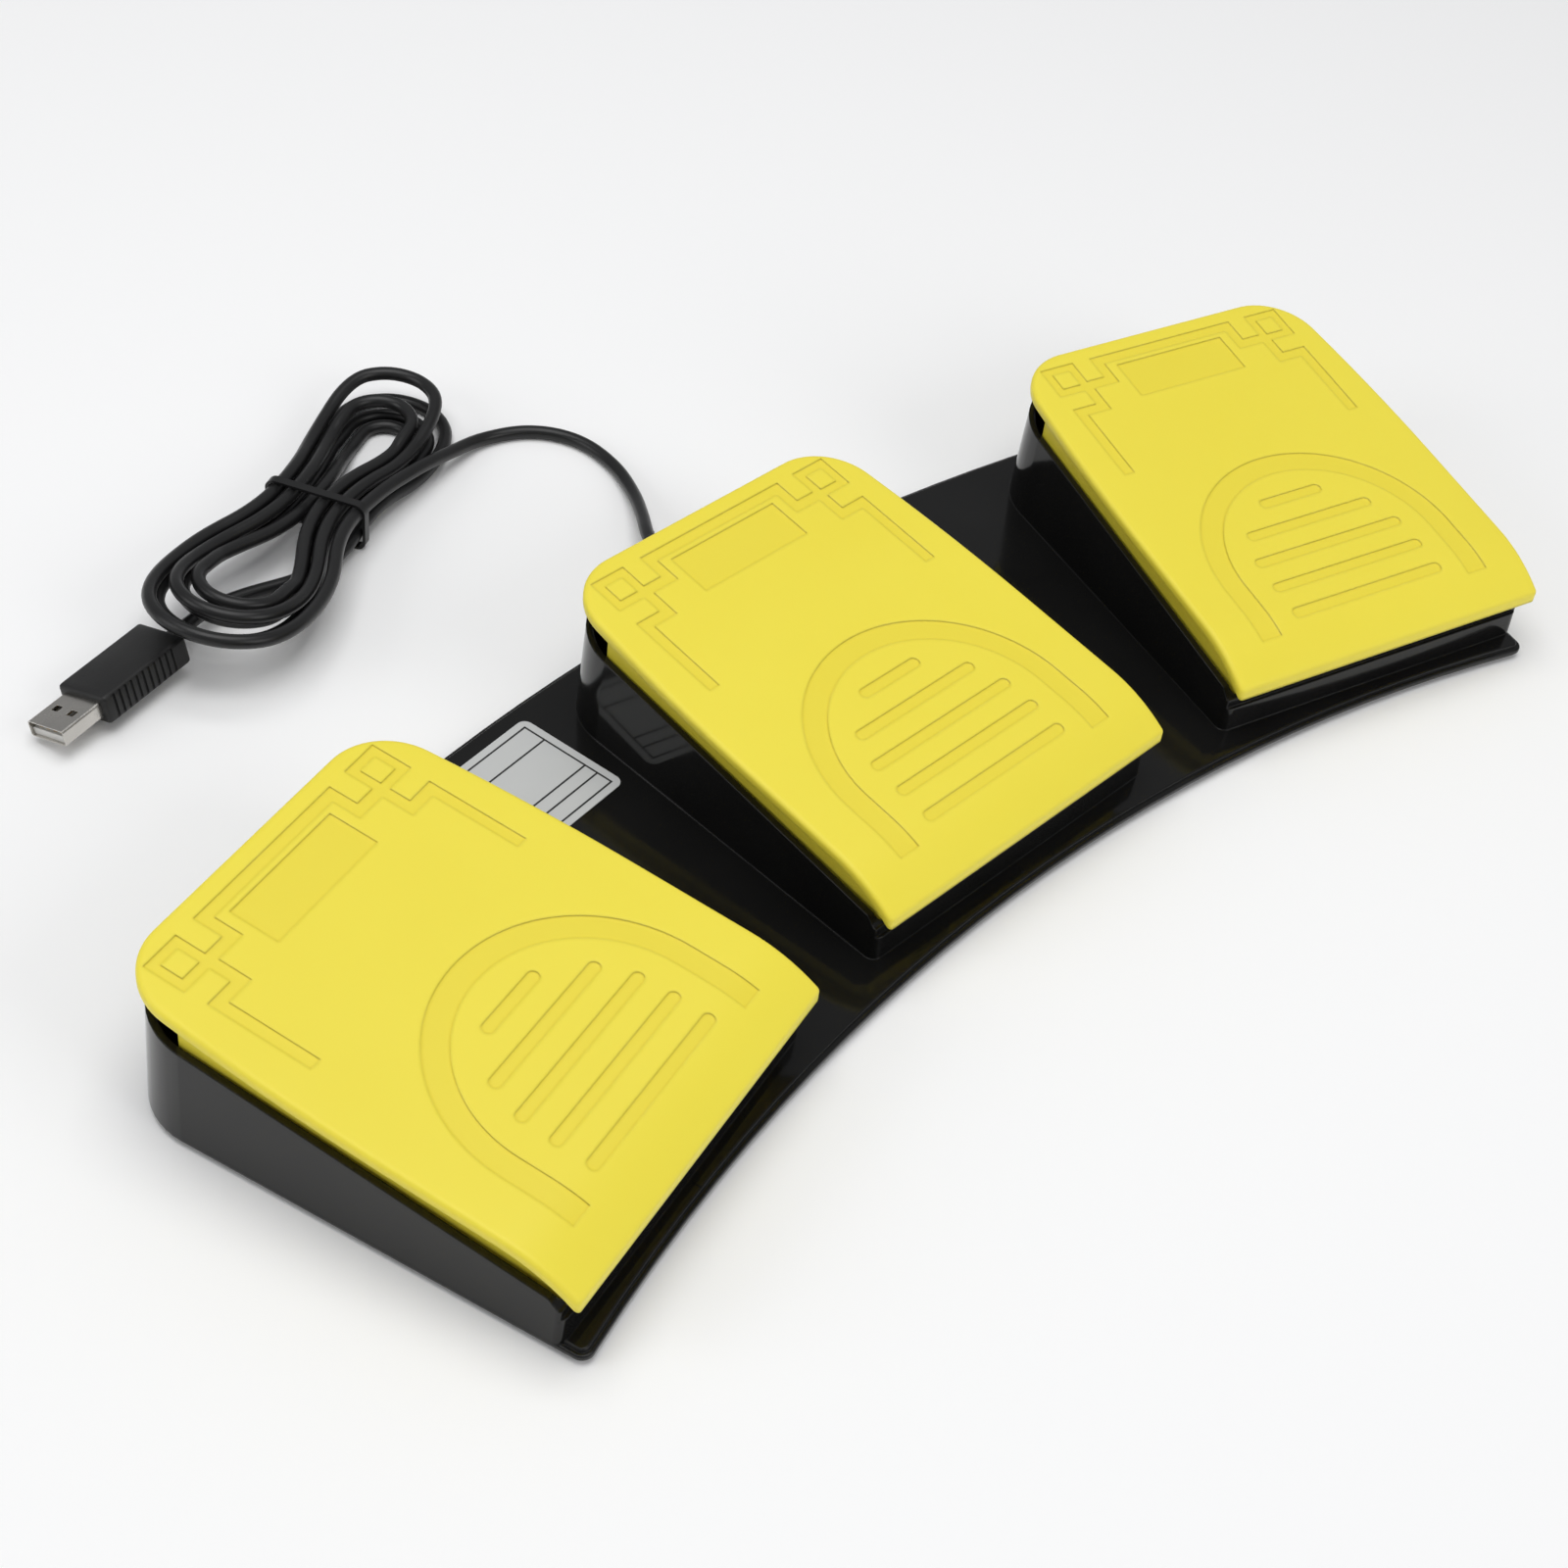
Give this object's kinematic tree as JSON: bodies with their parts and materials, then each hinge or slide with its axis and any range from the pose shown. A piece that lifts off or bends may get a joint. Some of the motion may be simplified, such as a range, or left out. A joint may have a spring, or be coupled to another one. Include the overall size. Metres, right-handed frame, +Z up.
{
  "type": "usb foot pedal switch",
  "caption": "USB foot switch: a curved deck with a row of sprung pedals that tilt in open topped housings and press micro switches, with a folded, tied cord and a USB-A plug.",
  "frame": {"origin": "on the table plane below the middle of the deck's plan box, cord left out", "axes": "+X along the row of pedals to the user's right, +Y away from the user towards the cord, +Z up"},
  "size_m": [0.4038, 0.2803, 0.0412],
  "materials": {
    "shell_plastic": "gloss moulded",
    "cover_sheet": "satin",
    "pedal_plastic": "satin moulded",
    "label_foil": "satin",
    "cord_jacket": "satin",
    "collar_rubber": "matt",
    "tie_plastic": "satin",
    "plug_body": "matt moulded",
    "plug_steel": "nickel plated",
    "plug_insulator": "matt",
    "contact_metal": "gold flashed",
    "pin_steel": "ground",
    "spring_steel": "drawn wire",
    "switch_plastic": "matt moulded",
    "plunger_plastic": "matt moulded",
    "screw_steel": "zinc plated",
    "stop_rubber": "matt",
    "foot_rubber": "matt",
    "board_laminate": "solder mask",
    "board_chips": "matt",
    "wire_jacket": "satin"
  },
  "bodies": {
    "base": {"upper_shell": "shell_plastic", "bottom_cover": "cover_sheet", "info_label": "label_foil", "usb_cord": "cord_jacket", "cord_hank": "cord_jacket", "inner_cord_end": "cord_jacket", "cord_collar": "collar_rubber", "hank_tie": "tie_plastic", "plug_overmould": "plug_body", "plug_shell": "plug_steel", "plug_tongue": "plug_insulator", "plug_contacts": "contact_metal", "left_hinge_pin": "pin_steel", "middle_hinge_pin": "pin_steel", "right_hinge_pin": "pin_steel", "left_return_spring": "spring_steel", "middle_return_spring": "spring_steel", "right_return_spring": "spring_steel", "left_switch_body": "switch_plastic", "middle_switch_body": "switch_plastic", "right_switch_body": "switch_plastic", "cover_screws": "screw_steel", "board_screws": "screw_steel", "left_switch_screws": "screw_steel", "middle_switch_screws": "screw_steel", "right_switch_screws": "screw_steel", "left_stop_pads": "stop_rubber", "middle_stop_pads": "stop_rubber", "right_stop_pads": "stop_rubber", "rubber_feet": "foot_rubber", "main_board": "board_laminate", "board_parts": "board_chips", "left_wire_loom": "wire_jacket", "right_wire_loom": "wire_jacket", "middle_wire_loom": "wire_jacket"},
    "left_pedal_body": {"left_pedal": "pedal_plastic"},
    "left_plunger_body": {"left_switch_plunger": "plunger_plastic"},
    "middle_pedal_body": {"middle_pedal": "pedal_plastic"},
    "middle_plunger_body": {"middle_switch_plunger": "plunger_plastic"},
    "right_pedal_body": {"right_pedal": "pedal_plastic"},
    "right_plunger_body": {"right_switch_plunger": "plunger_plastic"}
  },
  "joints": [
    {"name": "left_press", "type": "hinge", "parent": "base", "child": "left_pedal_body", "pos_m": [-0.15517, 0.04105, 0.033], "axis": [0.9632, 0.2689, 0], "range_deg": [0, 2.4], "stiffness_Nm_per_rad": 6, "springref_deg": -8.59, "deforming": ["left_return_spring"]},
    {"name": "left_click", "type": "slide", "parent": "base", "child": "left_plunger_body", "axis": [0, 0, -1], "range_m": [0, 0.00114]},
    {"name": "middle_press", "type": "hinge", "parent": "base", "child": "middle_pedal_body", "pos_m": [0, 0.0623, 0.033], "axis": [1, 0, 0], "range_deg": [0, 2.4], "stiffness_Nm_per_rad": 6, "springref_deg": -8.59, "deforming": ["middle_return_spring"]},
    {"name": "middle_click", "type": "slide", "parent": "base", "child": "middle_plunger_body", "axis": [0, 0, -1], "range_m": [0, 0.00114]},
    {"name": "right_press", "type": "hinge", "parent": "base", "child": "right_pedal_body", "pos_m": [0.15517, 0.04105, 0.033], "axis": [0.9632, -0.2689, 0], "range_deg": [0, 2.4], "stiffness_Nm_per_rad": 6, "springref_deg": -8.59, "deforming": ["right_return_spring"]},
    {"name": "right_click", "type": "slide", "parent": "base", "child": "right_plunger_body", "axis": [0, 0, -1], "range_m": [0, 0.00114]}
  ],
  "couplings": [
    {"joint": "left_click", "follows": "left_press", "m_per_rad": 0.027},
    {"joint": "middle_click", "follows": "middle_press", "m_per_rad": 0.027},
    {"joint": "right_click", "follows": "right_press", "m_per_rad": 0.027}
  ]
}
